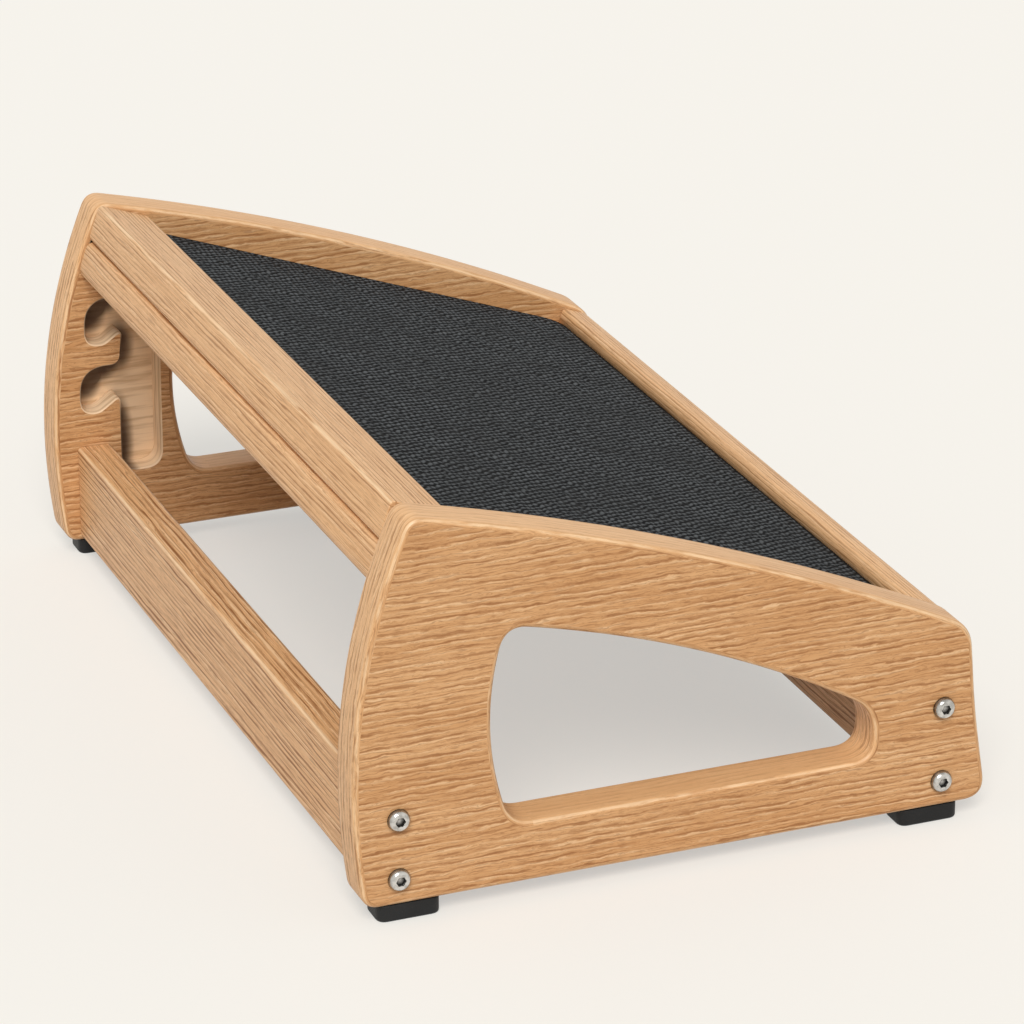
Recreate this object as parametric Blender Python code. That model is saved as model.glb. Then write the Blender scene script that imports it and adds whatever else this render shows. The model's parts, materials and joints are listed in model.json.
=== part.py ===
"""Adjustable wooden footrest stool: two side panels, a tilting platform with a grip mat, and a
loose support bar whose end dowels sit in one of three hooked notches.

Metres, +Z up, floor at z = 0. X runs across the stool, -Y is the low front, +Y the high rear.
"""
import math

import bmesh
import bpy

for old in list(bpy.data.objects):
    bpy.data.objects.remove(old, do_unlink=True)

# Overall sizes and fits
WIDTH = 0.470
PANEL_T = 0.022
FOOT_H = 0.009
GAP = 0.0003
SIDE_PLAY = 0.001
RUN_FIT = 0.0001
ROUND = 0.0025
END_CLEAR = 0.001
CUT_PAST = 0.002

# Side panel outline: y from the stool's middle, z from the panel's underside, corner cut-backs, bows
PANEL_REAR_Y = 0.1500
PANEL_TOP_Y = 0.1275
PANEL_H = 0.1840
PANEL_NOSE_Y = -0.1455
PANEL_NOSE_Z = 0.0880
PANEL_WAIST_Y = -0.1492
PANEL_WAIST_Z = 0.0460
PANEL_FRONT_Y = -0.1564
PANEL_REAR_CUT = 0.007
PANEL_NOSE_CUT = 0.010
PANEL_WAIST_CUT = 0.014
PANEL_FRONT_CUT = 0.012
PANEL_REAR_BOW = 0.0138
PANEL_TOP_BOW = 0.0085

# Hand hole in each panel
HOLE_LOW_Y = 0.0800
HOLE_LOW_Z = 0.0295
HOLE_TOP_Y = 0.0825
HOLE_TOP_Z = 0.1255
HOLE_FRONT_Y = -0.0975
HOLE_FRONT_Z = 0.0545
HOLE_REAR_CUT = 0.010
HOLE_NOSE_CUT = 0.012
HOLE_FRONT_CUT = 0.011
HOLE_BOW = 0.0085

# Platform: pivot axis in the panels, slope in the top notch, lengths along the slope
PIVOT_Y = -0.136
PIVOT_Z = 0.080
SLOPE = math.radians(19.5)
RAIL_H = 0.019
REAR_FACE_U = 0.2825
REAR_RAIL_W = 0.028
FRONT_RAIL_U = 0.011
GROOVE = 0.0045
DECK_T = 0.0085
DECK_TOP_N = 0.001
MAT_T = 0.002
MAT_CORNER = 0.012
MAT_RIM = 0.0008
BATTEN_W = 0.018
BATTEN_H = 0.014
BATTEN_EASE = 0.0015
BATTEN_FRONT_INSET = 0.003
BATTEN_REAR_INSET = 0.006
PIN_D = 0.008
PIN_IN_RAIL = 0.018
PIN_EASE = 0.0006
BUSH_D = 0.012
BUSH_L = 0.012

# Support bar and its hooked notches
BAR_D = 0.024
BAR_H = 0.020
BAR_ROUND = 0.008
DOWEL_D = 0.014
DOWEL_IN_BAR = 0.025
DOWEL_EASE = 0.001
POCKET_DEPTH = 0.013
HOOKS = 3
HOOK_DROP = 0.037
HOOK_SHIFT = 0.0035
TOOTH_L = 0.011
TOOTH_GROWTH = 0.0015
RAMP = math.radians(35.0)
TOOTH_CUT = 0.005
ARCH = 0.0175
ARCH_CUT = 0.014
ARCH_STEP = 0.0002
TOP_CUP_CUT = 0.013
CHANNEL_FRONT_Y = 0.0975
CHANNEL_LOW_Z = 0.036
CHANNEL_TOP_RISE = 0.0208
CHANNEL_TOP_CUT = 0.008
CHANNEL_LOW_CUT = 0.009

# Stretchers, bolts and barrel nuts
STRETCHER_T = 0.018
STRETCHER_LOW = 0.0025
REAR_STRETCHER_Y = 0.134
REAR_STRETCHER_H = 0.050
FRONT_STRETCHER_Y = -0.132
FRONT_STRETCHER_H = 0.058
BOLT_EDGE = 0.0105
BOLT_D = 0.006
BOLT_TIP = 0.0005
BOLT_PAST_NUT = 0.0004
BORE_PAST_BOLT = 0.004
HEAD_D = 0.0105
HEAD_H = 0.0033
HEX_AF = 0.004
HEX_DEPTH = 0.0021
DOME = ((0.55, 1.0), (0.8, 0.82), (0.95, 0.5), (1.0, 0.15))
NUT_D = 0.010
NUT_L = 0.014
NUT_EASE = 0.0006
NUT_INSET = 0.022

# Feet and their screws
FOOT_L = 0.030
FOOT_W = 0.018
FOOT_CORNER = 0.004
FOOT_RIM = 0.0012
FOOT_Y = 0.128
SCREW_Y = 0.120
SCREW_D = 0.0035
SCREW_L = 0.018
SCREW_POINT = 0.003
SCREW_HEAD_D = 0.007
SCREW_HEAD_H = 0.0022
SCREW_RECESS = 0.0045
SCREW_CROWN = ((0.7, 1.0), (1.0, 0.5))

BLEND_STEPS = 5
ROUND_STEPS = 2
NOSE_STEPS = 12
SIDES = 16

INNER_X = WIDTH / 2 - PANEL_T
PANEL_MID_X = WIDTH / 2 - PANEL_T / 2
STRETCHER_X = INNER_X - GAP
PLATFORM_X = INNER_X - SIDE_PLAY
DECK_LOW_N = DECK_TOP_N - DECK_T
REAR_RAIL_U = REAR_FACE_U - REAR_RAIL_W
BAR_U = REAR_FACE_U - BAR_D / 2
BAR_N = -(RAIL_H / 2 + GAP + BAR_H / 2)
BAR_Y = PIVOT_Y + BAR_U * math.cos(SLOPE) - BAR_N * math.sin(SLOPE)
BAR_Z = PIVOT_Z + BAR_U * math.sin(SLOPE) + BAR_N * math.cos(SLOPE)
CUP_R = DOWEL_D / 2 + GAP
BOLT_L = PANEL_T + 2 * GAP + NUT_INSET + NUT_D / 2 + BOLT_PAST_NUT

# Corners of the outlines: y, z, cut-back, bow of the next edge, steps along it
PANEL_CORNERS = (
    (PANEL_REAR_Y, 0.0, PANEL_REAR_CUT, PANEL_REAR_BOW, 14),
    (PANEL_TOP_Y, PANEL_H, PANEL_REAR_CUT, PANEL_TOP_BOW, 16),
    (PANEL_NOSE_Y, PANEL_NOSE_Z, PANEL_NOSE_CUT, 0.0, 2),
    (PANEL_WAIST_Y, PANEL_WAIST_Z, PANEL_WAIST_CUT, 0.0, 2),
    (PANEL_FRONT_Y, 0.0, PANEL_FRONT_CUT, 0.0, 1),
)
HAND_HOLE_CORNERS = (
    (HOLE_LOW_Y, HOLE_LOW_Z, HOLE_REAR_CUT, HOLE_BOW, 8),
    (HOLE_TOP_Y, HOLE_TOP_Z, HOLE_REAR_CUT, HOLE_BOW, 12),
    (HOLE_FRONT_Y, HOLE_FRONT_Z, HOLE_NOSE_CUT, 0.0, 1),
    (HOLE_FRONT_Y, HOLE_LOW_Z, HOLE_FRONT_CUT, 0.0, 2),
)


def principled(name, colour, roughness, metallic=0.0):
    """Material with one colour, roughness and metal share."""
    material = bpy.data.materials.new(name)
    material.use_nodes = True
    shader = material.node_tree.nodes["Principled BSDF"]
    shader.inputs["Base Color"].default_value = (*colour, 1.0)
    shader.inputs["Roughness"].default_value = roughness
    shader.inputs["Metallic"].default_value = metallic
    return material


OAK = principled("oak", (0.58, 0.34, 0.14), 0.5)
PLY = principled("birch_plywood", (0.64, 0.47, 0.28), 0.6)
BEECH = principled("beech_dowel", (0.66, 0.44, 0.24), 0.55)
RUBBER = principled("black_rubber", (0.02, 0.02, 0.02), 0.75)
MAT = principled("grip_rubber", (0.03, 0.03, 0.032), 0.8)
STEEL = principled("stainless_steel", (0.62, 0.61, 0.6), 0.3, 1.0)
ZINC = principled("zinc_plated_steel", (0.55, 0.55, 0.52), 0.4, 1.0)
NYLON = principled("nylon", (0.75, 0.73, 0.68), 0.5)


def bowed(a, b, bow, share):
    """Point at a share of the edge from a to b, bowed to the right of travel."""
    dy = b[0] - a[0]
    dz = b[1] - a[1]
    out = 4.0 * bow * share * (1.0 - share) / math.hypot(dy, dz)
    return (a[0] + dy * share + dz * out, a[1] + dz * share - dy * out)


def outline(corners):
    """Closed outline from (y, z, cut-back, bow, steps): each corner is cut back and blended."""
    points = []
    for k, here in enumerate(corners):
        before = corners[k - 1]
        after = corners[(k + 1) % len(corners)]
        run_in = math.dist(before[:2], here[:2])
        run_out = math.dist(here[:2], after[:2])
        first = here[2] / run_out
        last = 1.0 - after[2] / run_out
        start = bowed(before, here, before[3], 1.0 - here[2] / run_in)
        end = bowed(here, after, here[3], first)
        blend = BLEND_STEPS if here[2] > 0.0 else 0
        for step in range(blend + 1):
            t = step / max(blend, 1)
            keep = ((1 - t) ** 2, 2 * t * (1 - t), t ** 2)
            y, z = (keep[0] * start[i] + keep[1] * here[i] + keep[2] * end[i] for i in (0, 1))
            points.append((y, z))
        for step in range(1, here[4]):
            points.append(bowed(here, after, here[3], first + (last - first) * step / here[4]))
    return [point for k, point in enumerate(points) if math.dist(point, points[k - 1]) > 0.00001]


def offset(points, inward):
    """Outline moved to its left, the inside of an anticlockwise outline."""
    moved = []
    for k, here in enumerate(points):
        before = points[k - 1]
        after = points[(k + 1) % len(points)]
        dy = after[0] - before[0]
        dz = after[1] - before[1]
        length = math.hypot(dy, dz)
        moved.append((here[0] - dz / length * inward, here[1] + dy / length * inward))
    return moved


def finish(name, bm, material, parent=None, location=(0.0, 0.0, 0.0)):
    """Named object from a mesh, with outward normals and smooth round faces."""
    bmesh.ops.recalc_face_normals(bm, faces=bm.faces)
    mesh = bpy.data.meshes.new(name)
    bm.to_mesh(mesh)
    bm.free()
    mesh.shade_smooth()
    mesh.set_sharp_from_angle(angle=math.radians(35.0))
    mesh.materials.append(material)
    item = bpy.data.objects.new(name, mesh)
    bpy.context.collection.objects.link(item)
    item.location = location
    item.parent = parent
    return item


def add_slab(bm, outer, holes, low, high, rim=0.0, axis="X", pit=None):
    """Slab of an outline between two levels of an axis, rims rounded, with a pit sunk in one face."""
    levels = [(low, 0.0), (high, 0.0)]
    if rim > 0.0:
        turns = [math.pi / 2 * step / ROUND_STEPS for step in range(ROUND_STEPS + 1)]
        near = [(low + rim * (1 - math.sin(turn)), rim * (1 - math.cos(turn))) for turn in reversed(turns)]
        far = [(high - rim * (1 - math.sin(turn)), rim * (1 - math.cos(turn))) for turn in turns]
        levels = near + far
    rims = ([], [])
    for loop, side in [(outer, 1.0)] + [(hole, -1.0) for hole in holes]:
        rings = []
        for level, inward in levels:
            flat = offset(loop, side * inward)
            if axis == "X":
                rings.append([bm.verts.new((level, p, q)) for p, q in flat])
            else:
                rings.append([bm.verts.new((p, q, level)) for p, q in flat])
        count = len(loop)
        for ring, following in zip(rings, rings[1:]):
            for i in range(count):
                j = (i + 1) % count
                bm.faces.new((ring[i], ring[j], following[j], following[i]))
        for rim_edges, ring in zip(rims, (rings[0], rings[-1])):
            rim_edges.extend(bm.edges.get((ring[i - 1], ring[i])) for i in range(count))
    if pit:
        loop, mouth, floor = pit
        top = [bm.verts.new((mouth, p, q)) for p, q in loop]
        base = [bm.verts.new((floor, p, q)) for p, q in loop]
        for i in range(len(loop)):
            bm.faces.new((top[i - 1], top[i], base[i], base[i - 1]))
        rims[0 if mouth == low else 1].extend(bm.edges.get((top[i - 1], top[i])) for i in range(len(loop)))
        rims += ([bm.edges.get((base[i - 1], base[i])) for i in range(len(loop))],)
    for rim_edges in rims:
        bmesh.ops.triangle_fill(bm, use_beauty=True, edges=rim_edges)


def add_lathe(bm, profile, axis, centre, sides=SIDES, closed=False):
    """Round body from (radius, distance) pairs along an axis letter, its sign included."""
    way = -1.0 if axis[0] == "-" else 1.0
    letter = axis[-1]
    rings = []
    for radius, along in profile:
        ring = []
        for k in range(sides if radius > 0.0 else 1):
            turn = 2 * math.pi * (k + 0.5) / sides
            p = radius * math.cos(turn)
            q = radius * math.sin(turn)
            spot = {"X": (way * along, p, q), "Y": (p, way * along, q), "Z": (p, q, way * along)}[letter]
            ring.append(bm.verts.new([centre[i] + spot[i] for i in range(3)]))
        rings.append(ring)
    pairs = list(zip(rings, rings[1:]))
    if closed:
        pairs.append((rings[-1], rings[0]))
    for ring, following in pairs:
        for k in range(sides):
            j = (k + 1) % sides
            if len(ring) == 1:
                bm.faces.new((ring[0], following[j], following[k]))
            elif len(following) == 1:
                bm.faces.new((ring[k], ring[j], following[0]))
            else:
                bm.faces.new((ring[k], ring[j], following[j], following[k]))


def rod(radius, start, end, ease=0.0):
    """Profile of a plain rod with eased ends."""
    if ease > 0.0:
        return [(0.0, start), (radius - ease, start), (radius, start + ease), (radius, end - ease),
                (radius - ease, end), (0.0, end)]
    return [(0.0, start), (radius, start), (radius, end), (0.0, end)]


def subtract(target, bm, location=(0.0, 0.0, 0.0)):
    """Cut one closed cutter mesh out of a piece."""
    cutter = finish(target.name + "_cutter", bm, OAK, target.parent, location)
    cutter.hide_render = True
    cutter.display_type = "WIRE"
    cut = target.modifiers.new("cut", "BOOLEAN")
    cut.operation = "DIFFERENCE"
    cut.solver = "EXACT"
    cut.object = cutter


def ease_edges(item, width):
    """Soften the sharp edges of a piece."""
    bevel = item.modifiers.new("eased_edges", "BEVEL")
    bevel.width = width
    bevel.segments = 2
    bevel.limit_method = "ANGLE"
    bevel.angle_limit = math.radians(50.0)


def rectangle(low_p, high_p, low_q, high_q, cut=0.0):
    """Corners of an anticlockwise rectangle with one corner cut-back."""
    spots = ((high_p, low_q), (high_p, high_q), (low_p, high_q), (low_p, low_q))
    return [(p, q, cut, 0.0, 1) for p, q in spots]


def pocket_corners():
    """Blind pocket of a panel: a channel with hooked notches that open into it from the rear."""
    top = BAR_Z + CHANNEL_TOP_RISE
    corners = [(CHANNEL_FRONT_Y, top, CHANNEL_TOP_CUT, 0.0, 1)]
    corners.append((CHANNEL_FRONT_Y, CHANNEL_LOW_Z, CHANNEL_LOW_CUT, 0.0, 1))
    walls = []
    for k in reversed(range(HOOKS)):
        cup_y = BAR_Y + HOOK_SHIFT * k
        cup_z = BAR_Z - HOOK_DROP * k
        reach = TOOTH_L + TOOTH_GROWTH * k
        wall = cup_y - reach
        tip = cup_z - CUP_R * math.cos(RAMP) + (reach - CUP_R * math.sin(RAMP)) * math.tan(RAMP)
        back = cup_y + CUP_R
        foot = CUP_R * math.tan(RAMP / 2)
        if not walls:
            corners.append((wall, CHANNEL_LOW_Z, CHANNEL_LOW_CUT, 0.0, 1))
        walls.append(wall)
        corners.append((wall, tip, TOOTH_CUT, 0.0, 1))
        corners.append((cup_y - foot, cup_z - CUP_R, foot, 0.0, 1))
        corners.append((back, cup_z - CUP_R, CUP_R, 0.0, 1))
        if k > 0:
            corners.append((back, cup_z + ARCH, ARCH_CUT, 0.0, 1))
            corners.append((wall - ARCH_STEP, cup_z + ARCH, TOOTH_CUT, 0.0, 1))
        else:
            corners.append((back, top, TOP_CUP_CUT, 0.0, 1))
    return corners


def axis_empty(name, location):
    """Turning axis of a moving group, with the platform's slope."""
    empty = bpy.data.objects.new(name, None)
    empty.location = location
    empty.rotation_euler = (SLOPE, 0.0, 0.0)
    bpy.context.collection.objects.link(empty)
    return empty


platform_axis = axis_empty("platform_axis", (0.0, PIVOT_Y, FOOT_H + PIVOT_Z))
bar_axis = axis_empty("bar_axis", (0.0, BAR_Y, FOOT_H + BAR_Z))

SIDES_OF_STOOL = (("left", -1.0), ("right", 1.0))
BOLT_SPOTS = []
for end, y, height in (("rear", REAR_STRETCHER_Y, REAR_STRETCHER_H),
                       ("front", FRONT_STRETCHER_Y, FRONT_STRETCHER_H)):
    BOLT_SPOTS.append((end + "_lower", y, STRETCHER_LOW + BOLT_EDGE))
    BOLT_SPOTS.append((end + "_upper", y, STRETCHER_LOW + height - BOLT_EDGE))

# Side panels with hand hole, blind pocket and bores
for side, way in SIDES_OF_STOOL:
    place = (way * PANEL_MID_X, 0.0, FOOT_H)
    inner = -way * PANEL_T / 2
    body = bmesh.new()
    pocket = (outline(pocket_corners()), inner, inner + way * POCKET_DEPTH)
    hand_hole = outline(HAND_HOLE_CORNERS)
    add_slab(body, outline(PANEL_CORNERS), [hand_hole], -PANEL_T / 2, PANEL_T / 2, ROUND, "X", pocket)
    panel = finish("side_panel_" + side, body, OAK, None, place)
    bores = bmesh.new()
    for spot, y, z in BOLT_SPOTS:
        add_lathe(bores, rod(BOLT_D / 2 + GAP, -PANEL_T, PANEL_T), "X", (0.0, y, z))
    blind = rod(BUSH_D / 2 + GAP, -CUT_PAST, BUSH_L + GAP)
    add_lathe(bores, blind, "X" if way > 0 else "-X", (inner, PIVOT_Y, PIVOT_Z))
    for screw_y in (SCREW_Y, -SCREW_Y):
        add_lathe(bores, rod(SCREW_D / 2 + GAP, -CUT_PAST, SCREW_L), "Z", (0.0, screw_y, 0.0), 12)
    subtract(panel, bores, place)

# Stretchers with bolt bores and cross holes for the barrel nuts
for end, y, height, inward in (("rear", REAR_STRETCHER_Y, REAR_STRETCHER_H, -1.0),
                               ("front", FRONT_STRETCHER_Y, FRONT_STRETCHER_H, 1.0)):
    place = (0.0, y, FOOT_H + STRETCHER_LOW)
    body = bmesh.new()
    section = outline(rectangle(-STRETCHER_T / 2, STRETCHER_T / 2, 0.0, height, ROUND))
    add_slab(body, section, [], -STRETCHER_X, STRETCHER_X)
    stretcher = finish(end + "_stretcher", body, OAK, None, place)
    bores = bmesh.new()
    cross = bmesh.new()
    for z in (BOLT_EDGE, height - BOLT_EDGE):
        for side, way in SIDES_OF_STOOL:
            axis = "X" if way < 0 else "-X"
            depth = BOLT_L - PANEL_T + BORE_PAST_BOLT
            add_lathe(bores, rod(BOLT_D / 2 + GAP, -CUT_PAST, depth), axis, (way * STRETCHER_X, 0.0, z))
            spot = (way * (STRETCHER_X - NUT_INSET), inward * (STRETCHER_T / 2 + CUT_PAST), z)
            toward = "-Y" if inward > 0 else "Y"
            depth = CUT_PAST + STRETCHER_T / 2 + NUT_L / 2 + GAP
            add_lathe(cross, rod(NUT_D / 2 + GAP, 0.0, depth), toward, spot)
    subtract(stretcher, bores, place)
    subtract(stretcher, cross, place)

# Bolts with domed heads and hexagon sockets, and the barrel nuts they pull on
for side, way in SIDES_OF_STOOL:
    for spot, y, z in BOLT_SPOTS:
        outward = "X" if way > 0 else "-X"
        place = (way * (WIDTH / 2 + GAP), y, FOOT_H + z)
        shank = BOLT_D / 2
        head = HEAD_D / 2
        dome = [(0.0, HEAD_H)] + [(share * head, rise * HEAD_H) for share, rise in DOME] + [(head, 0.0)]
        tip = [(shank, BOLT_TIP - BOLT_L), (shank - BOLT_TIP, -BOLT_L), (0.0, -BOLT_L)]
        profile = dome + [(shank, 0.0)] + tip
        body = bmesh.new()
        add_lathe(body, profile, outward, (0.0, 0.0, 0.0))
        bolt = finish("bolt_" + spot + "_" + side, body, STEEL, None, place)
        socket = bmesh.new()
        key = rod(HEX_AF / math.sqrt(3.0), HEAD_H - HEX_DEPTH, HEAD_H + CUT_PAST)
        add_lathe(socket, key, outward, (0.0, 0.0, 0.0), 6)
        subtract(bolt, socket, place)
        nut_body = bmesh.new()
        add_lathe(nut_body, rod(NUT_D / 2, -NUT_L / 2, NUT_L / 2, NUT_EASE), "Y", (0.0, 0.0, 0.0))
        place = (way * (STRETCHER_X - NUT_INSET), y, FOOT_H + z)
        nut = finish("barrel_nut_" + spot + "_" + side, nut_body, ZINC, None, place)
        thread = bmesh.new()
        add_lathe(thread, rod(BOLT_D / 2 + GAP, -NUT_D, NUT_D), "X", (0.0, 0.0, 0.0))
        subtract(nut, thread, place)

# Rubber feet, each held by one recessed screw from below, clear of the bolts
for side, way in SIDES_OF_STOOL:
    for end, toward in (("rear", 1.0), ("front", -1.0)):
        place = (way * PANEL_MID_X, toward * FOOT_Y, 0.0)
        body = bmesh.new()
        shape = outline(rectangle(-FOOT_W / 2, FOOT_W / 2, -FOOT_L / 2, FOOT_L / 2, FOOT_CORNER))
        add_slab(body, shape, [], 0.0, FOOT_H - GAP, FOOT_RIM, "Z")
        foot = finish("foot_" + end + "_" + side, body, RUBBER, None, place)
        hole = bmesh.new()
        bore = SCREW_D / 2 + GAP
        recess = SCREW_HEAD_D / 2 + GAP
        top = FOOT_H + CUT_PAST
        steps = [(0.0, -CUT_PAST), (recess, -CUT_PAST), (recess, SCREW_RECESS), (bore, SCREW_RECESS),
                 (bore, top), (0.0, top)]
        add_lathe(hole, steps, "Z", (0.0, 0.0, 0.0), 16)
        place = (way * PANEL_MID_X, toward * SCREW_Y, 0.0)
        subtract(foot, hole, place)
        screw = bmesh.new()
        seat = SCREW_RECESS - GAP
        tip = FOOT_H + SCREW_L - END_CLEAR
        shank = SCREW_D / 2
        head = SCREW_HEAD_D / 2
        crown = [(share * head, seat - drop * SCREW_HEAD_H) for share, drop in SCREW_CROWN]
        profile = [(0.0, seat - SCREW_HEAD_H)] + crown + [(head, seat), (shank, seat)]
        profile += [(shank, tip - SCREW_POINT), (0.0, tip)]
        add_lathe(screw, profile, "Z", (0.0, 0.0, 0.0), 16)
        finish("foot_screw_" + end + "_" + side, screw, ZINC, None, place)

# Platform front rail: a round nose about the pivot axis, grooved for the deck
half = RAIL_H / 2
groove_low = DECK_LOW_N - GAP
groove_high = DECK_TOP_N + GAP
nose = []
for step in range(NOSE_STEPS + 1):
    turn = math.pi / 2 + math.pi * step / NOSE_STEPS
    nose.append((half * math.cos(turn), half * math.sin(turn)))
front_section = nose + [
    (FRONT_RAIL_U, -half), (FRONT_RAIL_U, groove_low), (FRONT_RAIL_U - GROOVE, groove_low),
    (FRONT_RAIL_U - GROOVE, groove_high), (FRONT_RAIL_U, groove_high), (FRONT_RAIL_U, half - ROUND / 2),
    (FRONT_RAIL_U - ROUND / 2, half)]
body = bmesh.new()
add_slab(body, front_section, [], -PLATFORM_X, PLATFORM_X)
front_rail = finish("front_rail", body, OAK, platform_axis)
bores = bmesh.new()
for side, way in SIDES_OF_STOOL:
    depth = rod(PIN_D / 2 + GAP, -CUT_PAST, PIN_IN_RAIL + GAP)
    add_lathe(bores, depth, "X" if way < 0 else "-X", (way * PLATFORM_X, 0.0, 0.0))
subtract(front_rail, bores)

# Platform rear rail, grooved for the deck
rear_corners = [
    (REAR_FACE_U, -half, ROUND, 0.0, 1), (REAR_FACE_U, half, ROUND, 0.0, 1),
    (REAR_RAIL_U, half, ROUND / 2, 0.0, 1), (REAR_RAIL_U, groove_high, 0.0, 0.0, 1),
    (REAR_RAIL_U + GROOVE, groove_high, 0.0, 0.0, 1),
    (REAR_RAIL_U + GROOVE, groove_low, 0.0, 0.0, 1), (REAR_RAIL_U, groove_low, 0.0, 0.0, 1),
    (REAR_RAIL_U, -half, ROUND, 0.0, 1)]
body = bmesh.new()
add_slab(body, outline(rear_corners), [], -PLATFORM_X, PLATFORM_X)
finish("rear_rail", body, OAK, platform_axis)

# Deck board let into both rails, the battens under it and the grip mat on it
deck_front = FRONT_RAIL_U - GROOVE + GAP
deck_rear = REAR_RAIL_U + GROOVE - GAP
body = bmesh.new()
shape = outline(rectangle(deck_front, deck_rear, DECK_LOW_N, DECK_TOP_N))
add_slab(body, shape, [], -PLATFORM_X, PLATFORM_X)
finish("deck_board", body, PLY, platform_axis)
batten_top = DECK_LOW_N - GAP
batten_front = FRONT_RAIL_U + BATTEN_FRONT_INSET
batten_rear = REAR_RAIL_U - BATTEN_REAR_INSET
for side, way in SIDES_OF_STOOL:
    body = bmesh.new()
    shape = outline(rectangle(batten_front, batten_rear, batten_top - BATTEN_H, batten_top))
    outer = way * PLATFORM_X
    ends = sorted((outer, outer - way * BATTEN_W))
    add_slab(body, shape, [], ends[0], ends[1])
    batten = finish("side_batten_" + side, body, OAK, platform_axis)
    ease_edges(batten, BATTEN_EASE)
mat_low = DECK_TOP_N + GAP
shape = rectangle(-PLATFORM_X + GAP, PLATFORM_X - GAP, FRONT_RAIL_U + GAP, REAR_RAIL_U - GAP, MAT_CORNER)
body = bmesh.new()
add_slab(body, outline(shape), [], mat_low, mat_low + MAT_T, MAT_RIM, "Z")
finish("grip_mat", body, MAT, platform_axis)

# Pivot pins in the front rail, turning in bushes let into the panels
for side, way in SIDES_OF_STOOL:
    outward = "X" if way > 0 else "-X"
    start = PLATFORM_X - PIN_IN_RAIL
    body = bmesh.new()
    add_lathe(body, rod(PIN_D / 2, start, INNER_X + BUSH_L - END_CLEAR, PIN_EASE), outward, (0.0, 0.0, 0.0))
    finish("pivot_pin_" + side, body, STEEL, platform_axis)
    body = bmesh.new()
    bore = PIN_D / 2 + RUN_FIT
    ring = [(bore, INNER_X), (BUSH_D / 2, INNER_X), (BUSH_D / 2, INNER_X + BUSH_L), (bore, INNER_X + BUSH_L)]
    add_lathe(body, ring, outward, (0.0, 0.0, 0.0), SIDES, True)
    finish("pivot_bush_" + side, body, NYLON, None, (0.0, PIVOT_Y, FOOT_H + PIVOT_Z))

# Support bar and the two dowels glued into its ends
edge = BAR_D / 2
deep = BAR_H / 2
bar_corners = [(edge, -deep, BAR_ROUND, 0.0, 1), (edge, deep, ROUND, 0.0, 1), (-edge, deep, ROUND, 0.0, 1),
               (-edge, -deep, ROUND, 0.0, 1)]
body = bmesh.new()
add_slab(body, outline(bar_corners), [], -PLATFORM_X, PLATFORM_X)
bar = finish("support_bar", body, OAK, bar_axis)
bores = bmesh.new()
for side, way in SIDES_OF_STOOL:
    depth = rod(DOWEL_D / 2 + GAP, -CUT_PAST, DOWEL_IN_BAR + GAP)
    add_lathe(bores, depth, "X" if way < 0 else "-X", (way * PLATFORM_X, 0.0, 0.0))
subtract(bar, bores)
for side, way in SIDES_OF_STOOL:
    start = PLATFORM_X - DOWEL_IN_BAR
    end = INNER_X + POCKET_DEPTH - END_CLEAR
    body = bmesh.new()
    add_lathe(body, rod(DOWEL_D / 2, start, end, DOWEL_EASE), "X" if way > 0 else "-X", (0.0, 0.0, 0.0))
    finish("bar_dowel_" + side, body, BEECH, bar_axis)
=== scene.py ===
# %% [markdown]
# # A wooden footrest stool, dressed over its CAD frame
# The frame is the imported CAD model: every piece already stands where it belongs, in metres, with
# the floor at z = 0. This lesson puts finished oak, rubber and steel over it. The pieces that show
# are modelled again with finer edges, and the small hidden fittings keep their CAD shape and only
# get a material.

import json
import math

import bmesh
import bpy
from mathutils import Matrix, Vector


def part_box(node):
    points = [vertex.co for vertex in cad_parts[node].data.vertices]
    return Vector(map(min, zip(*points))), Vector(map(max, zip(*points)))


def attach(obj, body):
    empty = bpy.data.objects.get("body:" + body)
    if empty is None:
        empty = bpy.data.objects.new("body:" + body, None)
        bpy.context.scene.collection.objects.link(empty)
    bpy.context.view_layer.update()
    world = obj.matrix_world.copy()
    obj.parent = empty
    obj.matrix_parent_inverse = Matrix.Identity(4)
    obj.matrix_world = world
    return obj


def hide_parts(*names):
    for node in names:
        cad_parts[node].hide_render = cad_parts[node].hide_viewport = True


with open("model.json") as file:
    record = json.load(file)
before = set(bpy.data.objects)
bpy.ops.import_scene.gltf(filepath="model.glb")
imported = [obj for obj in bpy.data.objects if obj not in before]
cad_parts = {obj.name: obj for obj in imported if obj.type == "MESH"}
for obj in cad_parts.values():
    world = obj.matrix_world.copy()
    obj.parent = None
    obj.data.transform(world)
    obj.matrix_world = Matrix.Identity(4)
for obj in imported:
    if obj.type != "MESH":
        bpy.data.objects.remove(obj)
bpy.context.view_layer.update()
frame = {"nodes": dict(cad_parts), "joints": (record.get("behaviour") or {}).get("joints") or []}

# %% [markdown]
# ## Measures of the stool
# The outlines below are the stool's own: each corner is (y, height, cut-back, bow of the next
# edge, steps). The other sizes are read from the frame or match it. On the platform, names that
# end in U are places up the slope from the pivot, and names that end in N stand square to it.

# %% Sizes
PANEL_LOW, PANEL_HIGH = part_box("side_panel_left")
PANEL_T = PANEL_HIGH.x - PANEL_LOW.x
OUTER_X = -PANEL_LOW.x
INNER_X = OUTER_X - PANEL_T
FOOT_H = PANEL_LOW.z
PLATFORM_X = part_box("rear_rail")[1].x
BAR_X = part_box("support_bar")[1].x
EDGE_ROUND = 0.0025
GAP = 0.0003

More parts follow.
